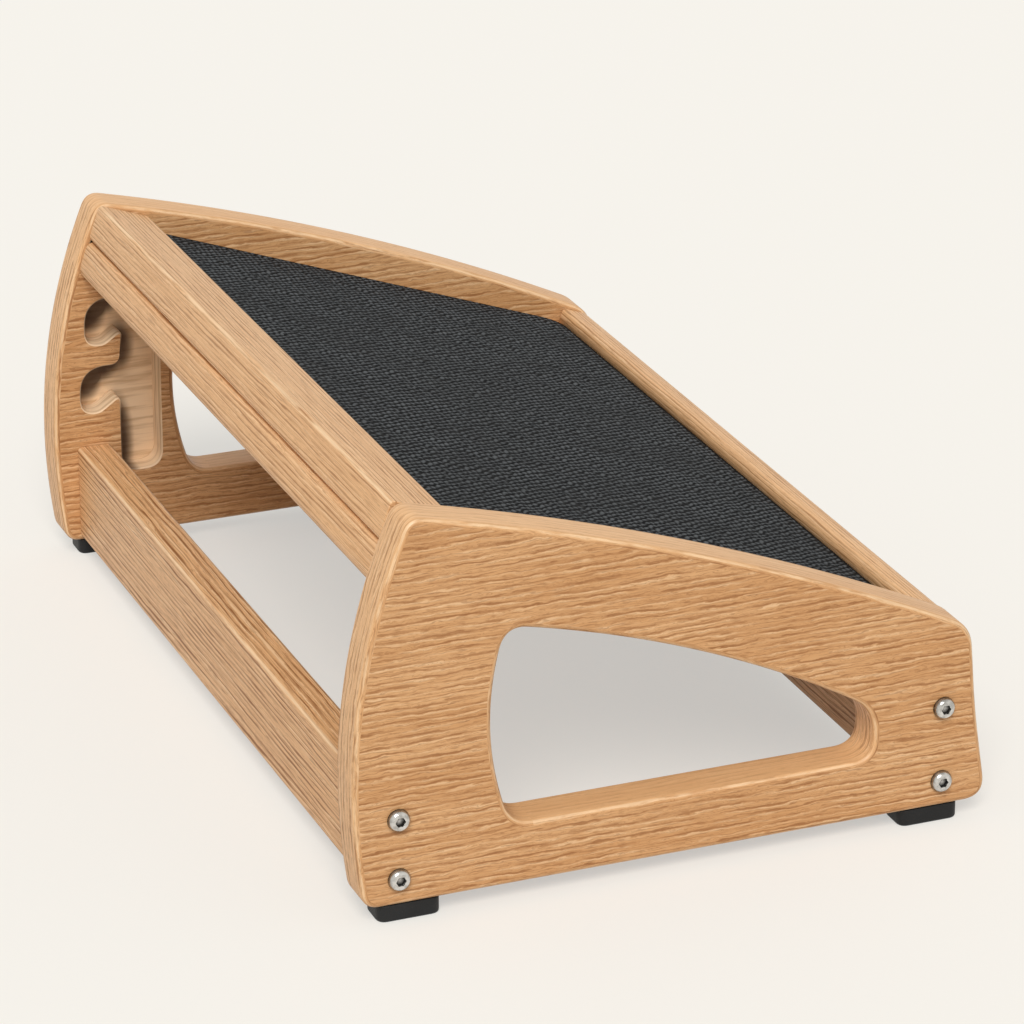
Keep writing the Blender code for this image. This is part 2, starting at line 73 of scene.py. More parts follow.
PANEL_CORNERS = (
    (0.1500, 0.0000, 0.0070, 0.0138, 40),
    (0.1275, 0.1840, 0.0070, 0.0085, 50),
    (-0.1455, 0.0880, 0.0100, 0.0000, 6),
    (-0.1492, 0.0460, 0.0140, 0.0000, 6),
    (-0.1564, 0.0000, 0.0120, 0.0000, 30),
)
HAND_HOLE_CORNERS = (
    (0.0800, 0.0295, 0.0100, 0.0085, 24),
    (0.0825, 0.1255, 0.0100, 0.0085, 40),
    (-0.0975, 0.0545, 0.0120, 0.0000, 2),
    (-0.0975, 0.0295, 0.0110, 0.0000, 20),
)

tilt = next(joint for joint in frame["joints"] if joint["name"] == "platform_tilt")
PIVOT = Vector(tilt["pos_m"])
SLOPE = math.radians(19.5)
RAIL_H = 0.019
RAIL_D = 0.028
REAR_FACE_U = 0.2825
REAR_RAIL_U = REAR_FACE_U - RAIL_D
FRONT_RAIL_U = 0.011
GROOVE = 0.0045
DECK_T = 0.0085
DECK_TOP_N = 0.001
DECK_LOW_N = DECK_TOP_N - DECK_T
MAT_T = 0.002
MAT_TOP_N = DECK_TOP_N + GAP + MAT_T
BAR_D = 0.024
BAR_H = 0.020
BAR_U = REAR_FACE_U - BAR_D / 2
BAR_N = -(RAIL_H / 2 + GAP + BAR_H / 2)
print(f"panels {PANEL_T * 1000:.0f} mm thick, {2 * INNER_X * 1000:.0f} mm apart")
print("pivot at", tuple(PIVOT))

# %% [markdown]
# ## Shader maths in Python
# A node material is a drawing of boxes and wires, which is hard to read as code. One small class
# wraps a socket, so that `a * 2 + b` adds the Math nodes by itself. Every other node comes from
# its `node` method: settings first, then the values or links of the sockets.


# %% The Flow class
class Flow:
    """One node socket that can stand in a Python expression."""

    def __init__(self, tree, socket=None):
        self.tree = tree
        self.socket = socket

    def node(self, kind, settings=None, sockets=None, out=0):
        """Add a node of a kind and give the flow that leaves it."""
        made = self.tree.nodes.new(kind)
        for name, value in (settings or {}).items():
            setattr(made, name, value)
        for name, value in (sockets or {}).items():
            if isinstance(value, Flow):
                self.tree.links.new(value.socket, made.inputs[name])
            else:
                made.inputs[name].default_value = value
        return Flow(self.tree, made.outputs[out] if made.outputs else None)

    def math(self, operation, *values):
        """A Math node on this flow and others."""
        sockets = dict(enumerate((self, *values)))
        return self.node("ShaderNodeMath", {"operation": operation}, sockets)

    def __add__(self, other):
        return self.math("ADD", other)

    __radd__ = __add__

    def __sub__(self, other):
        return self.math("SUBTRACT", other)

    def __rsub__(self, other):
        return self.node("ShaderNodeMath", {"operation": "SUBTRACT"}, {0: other, 1: self})

    def __mul__(self, other):
        return self.math("MULTIPLY", other)

    __rmul__ = __mul__

    def __truediv__(self, other):
        return self.math("DIVIDE", other)


# %% [markdown]
# ## Helpers for materials
# These name what the materials share: noise at a place, a smooth step, a blend of two colours.


# %% Shader helpers
def rgb(red, green, blue):
    """Linear colour of a screen colour with parts from 0 to 255."""
    parts = (red / 255.0, green / 255.0, blue / 255.0)
    return tuple(p / 12.92 if p <= 0.04045 else ((p + 0.055) / 1.055) ** 2.4 for p in parts)


def new_material(name):
    """Empty node material, with its Principled shader."""
    material = bpy.data.materials.new(name)
    material.use_nodes = True
    shader = material.node_tree.nodes["Principled BSDF"]
    return material, shader, Flow(material.node_tree)


def noise(vector, detail=2.0, roughness=0.5):
    """Cloud noise at a place, about 0.5 in the middle."""
    return vector.node("ShaderNodeTexNoise", None, {
        "Vector": vector, "Scale": 1.0, "Detail": detail, "Roughness": roughness})


def scaled(vector, size):
    """Vector times a number, or times three."""
    sizes = size if isinstance(size, (list, tuple)) else (size, size, size)
    return vector.node("ShaderNodeVectorMath", {"operation": "MULTIPLY"}, {0: vector, 1: sizes})


def place_at(flow, x, y, z=0.0):
    """Vector from three flows or numbers."""
    return flow.node("ShaderNodeCombineXYZ", None, {"X": x, "Y": y, "Z": z})


def part(vector, axis):
    """One part of a vector: 0, 1 or 2 for X, Y or Z."""
    return vector.node("ShaderNodeSeparateXYZ", None, {0: vector}, axis)


def streaks(along, across, layer=0.0, detail=2.0, roughness=0.5):
    """Noise over a flat place; each layer holds other noise."""
    return noise(place_at(along, along, across, layer), detail, roughness)


def object_place(flow):
    """Place in the piece's own coordinates, in metres."""
    return flow.node("ShaderNodeTexCoord", None, None, "Object")


def attribute(flow, name):
    """Number that a mesh carries under a name."""
    return flow.node("ShaderNodeAttribute", {"attribute_name": name}, None, "Fac")


def between(flow, low, high):
    """Smooth step of a flow from low to high."""
    return flow.node("ShaderNodeMapRange", {"interpolation_type": "SMOOTHSTEP"},
                     {"Value": flow, "From Min": low, "From Max": high})


def blend(share, first, second):
    """Colour between two, by a share."""
    sides = [side if isinstance(side, Flow) else (*side, 1.0) for side in (first, second)]
    return share.node("ShaderNodeMix", {"data_type": "RGBA"}, {0: share, 6: sides[0], 7: sides[1]}, 2)


def finish(shader, colour, rough, height, strength, depth):
    """Give a shader its colour, its roughness and the relief of a height."""
    normal = height.node("ShaderNodeBump", None, {
        "Strength": strength, "Distance": depth, "Height": height})
    for name, flow in (("Base Color", colour), ("Roughness", rough), ("Normal", normal)):
        flow.tree.links.new(flow.socket, shader.inputs[name])


print("shader helpers ready")

# %% [markdown]
# ## Oiled oak
# Oak has long figure lines, darker where the summer growth ends, and short open pores, all along
# the board. So each oak mesh carries a UV map named `grain`, in metres, with U along the board, and
# the noise is stretched along U. Three attributes go with it. `figure` tells how strongly the lines
# show. The wear mark lies on the rounded arrises, where hands have paled the oil, and adds a painted
# highlight there. The pale mark gives lighter wood: an even paler tone on some boards, and painted
# light on the panels' top and rear edges.

# %% Oak material
HONEY = rgb(217, 168, 117)
TAN = rgb(205, 153, 101)
AMBER = rgb(144, 90, 43)
STRAW = rgb(246, 213, 170)
# EDGE_PALE is the colour of the pale mark: painted light on the panels' top and rear edges.
EDGE_PALE = rgb(250, 203, 150)
PORE = rgb(140, 92, 50)
FIBRE = rgb(190, 137, 87)


def on_grain(flow):
    """Places along and across the board, from its grain map."""
    grain = flow.node("ShaderNodeUVMap", {"uv_map": "grain"})
    return part(grain, 0), part(grain, 1)


def growth_line(phase, start):
    """Thin line at each whole number of a phase; a higher start makes it thinner."""
    return between((phase * math.tau).math("COSINE"), start, 0.97)


def oak(name, stretch, density, depth):
    """Oak with its lines stretched along the board, set closer and made deeper."""
    material, shader, flow = new_material(name)
    along, across = on_grain(flow)
    along = along / stretch
    across = across * density
    figure = attribute(flow, "figure")
    sway = streaks(along * 4.0, across * 20.0)
    shake = streaks(along * 30.0, across * 120.0, 7.0, 3.0, 0.6)
    tremble = streaks(along * 120.0, across * 420.0, 4.0, 3.0, 0.6)
    phase = across * 280.0 + sway * 2.4 + shake * 1.4 + tremble * 0.7
    mask = streaks(along * 38.0, across * 240.0, 9.0, 3.0, 0.6)
    tone = streaks(along * 6.0, across * 60.0, 3.0)
    fibre = streaks(along * 55.0, across * 900.0, 1.0, 3.0, 0.6)
    cells = streaks(along * 130.0, across * 1300.0, 5.0, 1.0)
    gaps = streaks(along * 52.0, across * 460.0, 6.0)
    patches = streaks(along * 75.0, across * 240.0, 2.0)
    strength = between(mask, 0.36, 0.60) * figure
    dark = growth_line(phase, 0.30) * strength
    light = growth_line(phase + 0.35, 0.40) * strength
    thin = growth_line(phase * 2.3 + shake * 1.4 + 0.35, 0.40) * between(gaps, 0.42, 0.60) * figure
    hair = growth_line(phase * 5.0 + tremble * 2.0, 0.3) * between(gaps, 0.60, 0.42) * figure
    rubbed_and_highlit = attribute(flow, "wear") * between(patches, 0.34, 0.58)
    pores = between(cells, 0.58, 0.72) * figure
    colour = blend(between(tone, 0.36, 0.64), HONEY, TAN)
    colour = blend(between(fibre, 0.40, 0.66) * 0.40, colour, FIBRE)
    # Pale mark: painted light on the panels' top and rear edges, an even paler tone on other boards.
    colour = blend(attribute(flow, "pale"), colour, EDGE_PALE)
    colour = blend(light * (0.42 * depth), colour, STRAW)
    colour = blend(hair * (0.4 * depth), colour, AMBER)
    colour = blend(thin * (0.5 * depth), colour, AMBER)
    colour = blend(dark * (0.72 * depth), colour, AMBER)
    colour = blend(pores * 0.42, colour, PORE)
    # Wear on the rounded arrises, with a painted highlight.
    colour = blend(rubbed_and_highlit * 0.7, colour, STRAW)
    height = light * 0.2 - dark * 0.7 - thin * 0.4 - hair * 0.2 - pores * 0.3 + fibre * 0.2
    rough = 0.47 + dark * 0.12 - rubbed_and_highlit * 0.06 + (fibre - 0.5) * 0.2
    finish(shader, colour, rough, height, 0.14, 0.0004)
    return material


OAK = oak("oiled_oak", 1.0, 1.0, 1.0)
STRAIGHT_OAK = oak("oiled_straight_oak", 3.5, 1.15, 1.35)
CALM_OAK = oak("oiled_calm_oak", 3.0, 1.5, 0.95)
print("oak:", len(OAK.node_tree.nodes), "nodes")

# %% [markdown]
# ## Bare oak in the routed pocket
# The pocket in each panel's inner face was cut after the board was planed and got no oil, so it is
# paler and flatter than the rest. It reads the same grain map with softer lines. Under the arches
# and beside the teeth, where the notches lie in shade, soft ovals at given places hold painted shade.

# %% Bare oak material
BARE = rgb(245, 214, 176)
BARE_LINE = rgb(198, 160, 118)
# Colour of the painted shade under the notches' arches and beside their teeth.
POCKET_SHADE_COLOUR = rgb(60, 33, 14)


def bare_oak(name, pocket_shade_spots):
    """Pale oak without oil, with painted shade at ovals (y, z, half width, half height)."""
    material, shader, flow = new_material(name)
    along, across = on_grain(flow)
    lines = streaks(along * 24.0, across * 330.0, detail=4.0)
    fibre = streaks(along * 90.0, across * 1100.0)
    cloud = streaks(along * 60.0, across * 90.0, 3.0)
    spot = object_place(flow)
    y = part(spot, 1)
    z = part(spot, 2)
    # Painted shade: soft dark ovals where the notches lie in shade.
    pocket_shade = 0.0
    for spot_y, spot_z, half_width, half_height in pocket_shade_spots:
        off_y = (y - spot_y) / half_width
        off_z = (z - spot_z) / half_height
        pocket_shade = pocket_shade + between(off_y * off_y + off_z * off_z, 1.0, 0.1)
    colour = blend(between(lines, 0.42, 0.66) * 0.7, BARE, BARE_LINE)
    colour = blend(pocket_shade.math("MINIMUM", 1.0) * (0.66 + cloud * 0.4), colour, POCKET_SHADE_COLOUR)
    finish(shader, colour, 0.68 + (fibre - 0.5) * 0.25, fibre, 0.25, 0.0003)
    return material


print("bare oak rule ready")

# %% [markdown]
# ## Outlines with eased corners
# A panel's outline is a few corners joined by gentle arcs. Blender's curves could draw it, but a
# short function keeps the same few numbers as the CAD and lets us choose how fine the steps are.

# %% Outline helpers
CORNER_STEPS = 12
SAME_SPOT = 0.00001


def eased(p, q, cut=0.0):
    """Corner of an outline with a straight edge after it."""
    return (p, q, cut, 0.0, 1)


def box_corners(low_p, high_p, low_q, high_q, cut):
    """Corners of a rectangle, all eased alike."""
    spots = ((high_p, low_q), (high_p, high_q), (low_p, high_q), (low_p, low_q))
    return [eased(p, q, cut) for p, q in spots]


def bowed(a, b, bow, share):
    """Point at a share of the edge from a to b, bowed to the right of travel."""
    dy = b[0] - a[0]
    dz = b[1] - a[1]
    out = 4.0 * bow * share * (1.0 - share) / math.hypot(dy, dz)
    return (a[0] + dy * share + dz * out, a[1] + dz * share - dy * out)


def outline(corners):
    """Closed anticlockwise outline from (p, q, cut-back, bow, steps)."""
    points = []
    for k, here in enumerate(corners):
        before = corners[k - 1]
        after = corners[(k + 1) % len(corners)]
        run_in = math.dist(before[:2], here[:2])
        run_out = math.dist(here[:2], after[:2])
        first = here[2] / run_out
        last = 1.0 - after[2] / run_out
        start = bowed(before, here, before[3], 1.0 - here[2] / run_in)
        end = bowed(here, after, here[3], first)
        steps = CORNER_STEPS if here[2] > 0.0 else 0
        for step in range(steps + 1):
            t = step / max(steps, 1)
            pull = ((1 - t) ** 2, 2 * t * (1 - t), t ** 2)
            points.append(tuple(pull[0] * start[i] + pull[1] * here[i] + pull[2] * end[i]
                                for i in (0, 1)))
        for step in range(1, here[4]):
            points.append(bowed(here, after, here[3], first + (last - first) * step / here[4]))
    return [point for k, point in enumerate(points) if math.dist(point, points[k - 1]) > SAME_SPOT]


def offset(points, inward):
    """Outline moved to its left, the inside of an anticlockwise one, with its corners mitred."""
    moved = []
    for k, here in enumerate(points):
        before = points[k - 1]
        after = points[(k + 1) % len(points)]
        run_in = math.dist(before, here)
        run_out = math.dist(here, after)
        dy = (here[0] - before[0]) / run_in + (after[0] - here[0]) / run_out
        dz = (here[1] - before[1]) / run_in + (after[1] - here[1]) / run_out
        reach = 2.0 * inward / (dy * dy + dz * dz)
        moved.append((here[0] - dz * reach, here[1] + dy * reach))
    return moved


panel_outline = outline(PANEL_CORNERS)
hand_hole = outline(HAND_HOLE_CORNERS)
print("panel outline:", len(panel_outline), "points")

# %% [markdown]
# ## Rims and walls
# Every wooden piece is a slab: an outline swept between two levels, its rims rounded by a router.
# Rings of vertices follow the rounding, and quads join them. Their corners get the grain map at
# once, because only here is it known which way the board runs.

# %% Rings and walls
RIM_STEPS = 6


def quarter_turn(steps):
    """Angles of a quarter turn in even steps."""
    return [math.pi / 2 * step / steps for step in range(steps + 1)]


def rim_levels(low, high, rim):
    """Levels of the rings: (level, inward, run over the surface)."""
    turns = quarter_turn(RIM_STEPS)
    flat = high - low - 2 * rim
    near = [(low + rim * (1 - math.sin(t)), rim * (1 - math.cos(t)), -rim * t) for t in reversed(turns)]
    far = [(high - rim * (1 - math.sin(t)), rim * (1 - math.cos(t)), flat + rim * t) for t in turns]
    return near + far


def paint_corners(face, grain, spots):
    """Write the grain map of one face."""
    for corner, spot in zip(face.loops, spots):
        corner[grain].uv = spot


def ring_walls(bm, grain, rings, loop, runs, shift, along_sweep):
    """Quads between rings, with the grain along the sweep or along the outline."""
    count = len(loop)
    way = [0.0]
    walls = []
    for i in range(count):
        way.append(way[-1] + math.dist(loop[i], loop[(i + 1) % count]))
    for r in range(len(rings) - 1):
        for i in range(count):
            j = (i + 1) % count
            face = bm.faces.new((rings[r][i], rings[r][j], rings[r + 1][j], rings[r + 1][i]))
            spots = [(way[i], runs[r]), (way[i + 1], runs[r]),
                     (way[i + 1], runs[r + 1]), (way[i], runs[r + 1])]
            if along_sweep:
                spots = [(q, p) for p, q in spots]
            paint_corners(face, grain, [(p + shift, q + shift) for p, q in spots])
            walls.append(face)
    return walls


def rim_of(bm, ring):
    """Edges around one ring."""
    return [bm.edges.get((ring[i - 1], ring[i])) for i in range(len(ring))]


# %% [markdown]
# ## One board
# `triangle_fill` closes the flat faces, and holes stay open. A pocket is one more loop, with walls
# and a floor in the second material. The edges where flat faces start are marked sharp, so that
# smooth shading doesn't bend the light on them. The shift picks each board's stretch of grain.

# %% Board builder
MOUTH_EASE = 0.0008


def board(name, outer, holes, low, high, rim, place, shift, along_sweep=True, pocket=None):
    """Slab mesh of an outline; place turns (level, p, q) into a point of the stool."""
    bm = bmesh.new()
    grain = bm.loops.layers.uv.new("grain")
    levels = rim_levels(low, high, rim)
    runs = [run for level, inward, run in levels]
    caps = [[], []]
    flat_spot = {}

    def add_ring(loop, level):
        ring = []
        for p, q in loop:
            vertex = bm.verts.new(place(level, p, q))
            flat_spot[vertex] = (p + shift, q + shift)
            ring.append(vertex)
        return ring

    for loop, side in [(outer, 1.0)] + [(hole, -1.0) for hole in holes]:
        rings = [add_ring(offset(loop, side * inward), level) for level, inward, run in levels]
        ring_walls(bm, grain, rings, loop, runs, shift, along_sweep)
        caps[0] += rim_of(bm, rings[0])
        caps[1] += rim_of(bm, rings[-1])
    bare = []
    if pocket:
        loop, mouth, floor = pocket
        sink = math.copysign(MOUTH_EASE, floor - mouth)
        turns = quarter_turn(RIM_STEPS)
        rings = [add_ring(offset(loop, MOUTH_EASE * (math.sin(turn) - 1.0)),
                          mouth + sink * (1.0 - math.cos(turn))) for turn in turns]
        rings.append(add_ring(loop, floor))
        runs = [MOUTH_EASE * turn for turn in turns] + [abs(floor - mouth)]
        bare = ring_walls(bm, grain, rings, loop, runs, shift, False)
        caps[0 if mouth == low else 1] += rim_of(bm, rings[0])
        caps.append(rim_of(bm, rings[-1]))
    for face in bm.faces:
        face.smooth = True
    for number, edges in enumerate(caps):
        made = bmesh.ops.triangle_fill(bm, use_beauty=True, edges=edges)["geom"]
        faces = [item for item in made if isinstance(item, bmesh.types.BMFace)]
        for face in faces:
            face.smooth = False
            paint_corners(face, grain, [flat_spot[corner.vert] for corner in face.loops])
        if number == 2:
            bare += faces
        for edge in edges:
            edge.smooth = False
    for face in bare:
        face.material_index = 1
    bmesh.ops.recalc_face_normals(bm, faces=bm.faces)
    mesh = bpy.data.meshes.new(name)
    bm.to_mesh(mesh)
    bm.free()
    return mesh


# %% [markdown]
# ## Marks for the finish
# Each mark of a face is a number or a rule of its normal. Wear, with a painted highlight, shows only
# on the narrow faces of a rounding. A finished mesh then becomes a piece: it rides on a body and
# stands in for its CAD nodes.

# %% Marks and dressing
ARRIS_STEP = 0.0007


def on_arris(mesh, face):
    """True for a narrow face of a rounding."""
    spots = [mesh.vertices[k].co for k in face.vertices]
    narrowest = min((spots[k] - spots[k - 1]).length for k in range(len(spots)))
    return face.use_smooth and narrowest < ARRIS_STEP


def set_marks(mesh, figure=1.0, wear=0.0, pale=0.0):
    """Write the three marks of each face on its corners."""
    rules = {"figure": figure, "wear": wear, "pale": pale}
    for name in rules:
        mesh.attributes.new(name, "FLOAT", "CORNER")
    for name, rule in rules.items():
        marks = mesh.attributes[name].data
        for face in mesh.polygons:
            mark = rule(face.normal) if callable(rule) else rule
            if name == "wear" and not on_arris(mesh, face):
                mark = 0.0
            for corner in face.loop_indices:
                marks[corner].value = mark


def arris_wear_and_highlight(p, q, sharpness):
    """One halfway round an edge between two square faces, falling off to both sides."""
    return min(2.0 * abs(p * q), 1.0) ** sharpness


def add_object(name, data):
    """New object in the scene."""
    made = bpy.data.objects.new(name, data)
    bpy.context.scene.collection.objects.link(made)
    return made


def dress(name, mesh, materials, body, slot, *nodes):
    """Put a finished mesh on a body in place of its CAD nodes."""
    for material in materials:
        mesh.materials.append(material)
    piece = add_object(name, mesh)
    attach(piece, body)
    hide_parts(*nodes)
    print(f"{name}: {len(mesh.polygons)} faces")


# %% [markdown]
# ## The pocket
# A pocket in each panel's inner face holds the support bar's dowels: a channel with three hooked
# notches. A dowel lies in a notch's cup, behind a ramp and a tooth. Each lower notch lies a little
# further back and has a longer tooth.

# %% Pocket outline
BAR_Y = PIVOT.y + BAR_U * math.cos(SLOPE) - BAR_N * math.sin(SLOPE)
BAR_Z = PIVOT.z - FOOT_H + BAR_U * math.sin(SLOPE) + BAR_N * math.cos(SLOPE)
DOWEL_R = 0.007
CUP_R = DOWEL_R + GAP
RAMP = math.radians(35.0)
NOTCHES = 3
NOTCH_DROP = 0.037
NOTCH_BACK = 0.0035
TOOTH_REACH = 0.011
TOOTH_GROWTH = 0.0015
TOOTH_CUT = 0.005
TOOTH_LEAN = 0.0002
ARCH_RISE = 0.0175
ARCH_CUT = 0.014
TOP_ARCH_CUT = 0.017
CHANNEL_FRONT_Y = 0.0975
CHANNEL_LOW_Z = 0.036
CHANNEL_LOW_CUT = 0.009
CHANNEL_TOP_Z = BAR_Z + 0.0208
CHANNEL_TOP_CUT = 0.008


def notch_place(k):
    """Middle of a notch's cup, and how far its tooth reaches into the channel."""
    return BAR_Y + NOTCH_BACK * k, BAR_Z - NOTCH_DROP * k, TOOTH_REACH + TOOTH_GROWTH * k


def notch_corners(k):
    """Corners of one hooked notch, from the tooth's tip round the cup to the arch above."""
    cup_y, cup_z, reach = notch_place(k)
    wall = cup_y - reach
    tip = cup_z - CUP_R * math.cos(RAMP) + (reach - CUP_R * math.sin(RAMP)) * math.tan(RAMP)
    foot = CUP_R * math.tan(RAMP / 2)
    corners = [eased(wall, tip, TOOTH_CUT), eased(cup_y - foot, cup_z - CUP_R, foot),
               eased(cup_y + CUP_R, cup_z - CUP_R, CUP_R)]
    if k == 0:
        return corners + [eased(cup_y + CUP_R, CHANNEL_TOP_Z, TOP_ARCH_CUT)]
    arch = cup_z + ARCH_RISE
    return corners + [eased(cup_y + CUP_R, arch, ARCH_CUT), eased(wall - TOOTH_LEAN, arch, TOOTH_CUT)]


low_notch = notch_corners(2)
pocket_outline = outline([
    eased(CHANNEL_FRONT_Y, CHANNEL_TOP_Z, CHANNEL_TOP_CUT),
    eased(CHANNEL_FRONT_Y, CHANNEL_LOW_Z, CHANNEL_LOW_CUT),
    eased(low_notch[0][0], CHANNEL_LOW_Z, CHANNEL_LOW_CUT),
    *low_notch, *notch_corners(1), *notch_corners(0)])
print("pocket outline:", len(pocket_outline), "points")

# %% [markdown]
# ## Side panels
# Each panel is one 22 mm oak board with an arched top, a bulging rear edge and a D-shaped hand
# hole. The same outlines serve both sides, so only the level of the inner face changes. The ovals
# of painted shade are given from the middle of each cup.

# %% Panels
POCKET_DEPTH = 0.013
# Ovals of painted shade under each arch and beside each tooth, placed from the middle of the cup.
ARCH_SHADE_OVALS = ((0.0015, 0.004, 0.010, 0.011), (-0.004, 0.0115, 0.014, 0.009))
TOOTH_SHADE_WIDTH = 0.010
TOOTH_SHADE_HALVES = (0.014, 0.014, 0.030)
TOP_FADE = 0.7
# Painted light: the panels' top and rear edges, which face up and back, are paler.
TOP_PAINTED_LIGHT = 0.45
REAR_PAINTED_LIGHT = 0.6
PANEL_SHARPNESS = 8

pocket_shade_spots = []
for k in range(NOTCHES):
    cup_y, cup_z, reach = notch_place(k)
    tooth_shade_oval = (-reach - 0.001, -TOOTH_SHADE_HALVES[k], TOOTH_SHADE_WIDTH, TOOTH_SHADE_HALVES[k] + 0.002)
    for y, z, half_width, half_height in (*ARCH_SHADE_OVALS, tooth_shade_oval):
        pocket_shade_spots.append((cup_y + y, FOOT_H + cup_z + z, half_width, half_height))
BARE_OAK = bare_oak("bare_oak", pocket_shade_spots)


def panel_figure(normal):
    """Full lines on the faces and the rear edge, faint ones on the top edge."""
    return 1.0 - TOP_FADE * max(normal.z, 0.0) ** 2


def panel_painted_light(normal):
    """Painted light: paler at the top edge and the rear edge, the faces that face up and back."""
    return TOP_PAINTED_LIGHT * max(normal.z, 0.0) ** 2 + REAR_PAINTED_LIGHT * max(normal.y, 0.0) ** 2


def panel_wear_and_highlight(normal):
    """Wear with a painted highlight along the arris between a face and the rim."""
    return arris_wear_and_highlight(normal.x, math.hypot(normal.y, normal.z), PANEL_SHARPNESS)


for side, way in (("left", -1.0), ("right", 1.0)):
    inner = way * INNER_X
    low, high = sorted((inner, way * OUTER_X))
    pocket = (pocket_outline, inner, inner + way * POCKET_DEPTH)
    mesh = board("panel_" + side, panel_outline, [hand_hole], low, high, EDGE_ROUND,
                 lambda level, p, q: (level, p, q + FOOT_H), 2.0 + way, False, pocket)
    set_marks(mesh, panel_figure, panel_wear_and_highlight, panel_painted_light)
    dress("oak_panel_" + side, mesh, [OAK, BARE_OAK], "frame", "oak", "side_panel_" + side)

# %% [markdown]
# ## Stretchers
# Boards that run across the stool are drawn as a section and swept along X. The two stretchers
# stand upright, and their sections come from the frame.

# %% Cross boards
SOFT_END = 0.0005
RAIL_PALE = 0.45
RAIL_SHARPNESS = 2


def on_slope(level, u, n):
    """Point of the stool from a place on the sloping platform."""
    return (level, PIVOT.y + u * math.cos(SLOPE) - n * math.sin(SLOPE),
            PIVOT.z + u * math.sin(SLOPE) + n * math.cos(SLOPE))


def cross_board(node, section, half_length, slope, shift, material, body):
    """Oak board along X, upright or on the slope. Open upper arrises get wear with a painted highlight.
    """
    def board_wear_and_highlight(normal):
        p = normal.y * math.cos(slope) + normal.z * math.sin(slope)
        q = normal.z * math.cos(slope) - normal.y * math.sin(slope)
        return arris_wear_and_highlight(p, max(q, 0.0), RAIL_SHARPNESS)

    place = on_slope if slope else lambda *spot: spot
    mesh = board("oak_" + node, section, [], -half_length, half_length, SOFT_END, place, shift)
    set_marks(mesh, 1.0, 0.0 if node == "support_bar" else board_wear_and_highlight, RAIL_PALE)
    dress("oak_" + node, mesh, [material], body, "oak", node)


for shift, node in ((5.0, "rear_stretcher"), (6.0, "front_stretcher")):
    low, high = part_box(node)
    section = outline(box_corners(low.y, high.y, low.z, high.z, EDGE_ROUND))
    cross_board(node, section, high.x, 0.0, shift, STRAIGHT_OAK, "frame")

# %% [markdown]
# ## Rails and support bar
# These are drawn on the slope. Both rails have a groove for the deck. The front rail's nose is half
# a circle about the pivot, which lets the platform swing without a gap.

# %% Rails and bar
NOSE_STEPS = 36
LIP_ROUND = EDGE_ROUND / 2
RAIL_UNDER_ROUND = 0.0035
BAR_TOP_ROUND = 0.005
BAR_BELLY_ROUND = 0.008
half = RAIL_H / 2
groove_low = DECK_LOW_N - GAP
groove_high = DECK_TOP_N + GAP
front_groove = FRONT_RAIL_U - GROOVE
rear_groove = REAR_RAIL_U + GROOVE
bar_low = BAR_N - BAR_H / 2
bar_high = BAR_N + BAR_H / 2
bar_inner = REAR_FACE_U - BAR_D

nose_turns = [math.pi * (0.5 + k / NOSE_STEPS) for k in range(NOSE_STEPS + 1)]
front_section = [(half * math.cos(turn), half * math.sin(turn)) for turn in nose_turns] + [
    (FRONT_RAIL_U, -half), (FRONT_RAIL_U, groove_low), (front_groove, groove_low),
    (front_groove, groove_high), (FRONT_RAIL_U, groove_high), (FRONT_RAIL_U, half - LIP_ROUND),
    (FRONT_RAIL_U - LIP_ROUND, half)]
rear_section = outline([
    eased(REAR_FACE_U, -half, RAIL_UNDER_ROUND), eased(REAR_FACE_U, half, EDGE_ROUND),
    eased(REAR_RAIL_U, half, LIP_ROUND), eased(REAR_RAIL_U, groove_high),
    eased(rear_groove, groove_high), eased(rear_groove, groove_low),
    eased(REAR_RAIL_U, groove_low), eased(REAR_RAIL_U, -half)])
bar_section = outline([
    eased(REAR_FACE_U, bar_low, BAR_BELLY_ROUND), eased(REAR_FACE_U, bar_high, BAR_TOP_ROUND),
    eased(bar_inner, bar_high, EDGE_ROUND), eased(bar_inner, bar_low, EDGE_ROUND)])
cross_board("front_rail", front_section, PLATFORM_X, SLOPE, 7.0, CALM_OAK, "platform")
cross_board("rear_rail", rear_section, PLATFORM_X, SLOPE, 8.0, CALM_OAK, "platform")
cross_board("support_bar", bar_section, BAR_X, SLOPE, 9.0, CALM_OAK, "support_bar")

# %% [markdown]
# ## Plywood
# A birch plywood deck carries the mat. It has a calm face and striped edges, where the plies lie
# crosswise by turns. The `figure` attribute tells faces from edges.

# %% Plywood material
PLIES = 7
DECK_SHIFT = 10.0


def plywood(name):
    """Birch plywood: long soft lines on the faces, plies on the sawn edges."""
    material, shader, flow = new_material(name)
    along, across = on_grain(flow)
    drift = streaks(along * 3.0, across * 14.0)
    lines = streaks(along * 9.0, across * 210.0 + drift * 9.0, 2.0, 4.0, 0.6)
    fibre = streaks(along * 60.0, across * 1200.0, 4.0)
    pores = streaks(along * 90.0, across * 700.0, 8.0, 1.0)
    face = blend(between(lines, 0.38, 0.66) * 0.75, rgb(226, 192, 148), rgb(194, 150, 102))
    face = blend(between(pores, 0.62, 0.74) * 0.5, face, rgb(158, 112, 68))
    level = (across - DECK_SHIFT - DECK_LOW_N) * (PLIES / DECK_T)
    crosswise = between((level * math.pi).math("SINE"), -0.25, 0.25)
    edge = blend(crosswise, rgb(216, 178, 130), rgb(148, 102, 62))
    edge = blend(between(pores, 0.5, 0.7) * 0.4, edge, rgb(120, 80, 46))
    colour = blend(attribute(flow, "figure"), edge, face)
    finish(shader, colour, 0.55 + (fibre - 0.5) * 0.3, lines * 0.5 + fibre, 0.25, 0.0003)
    return material


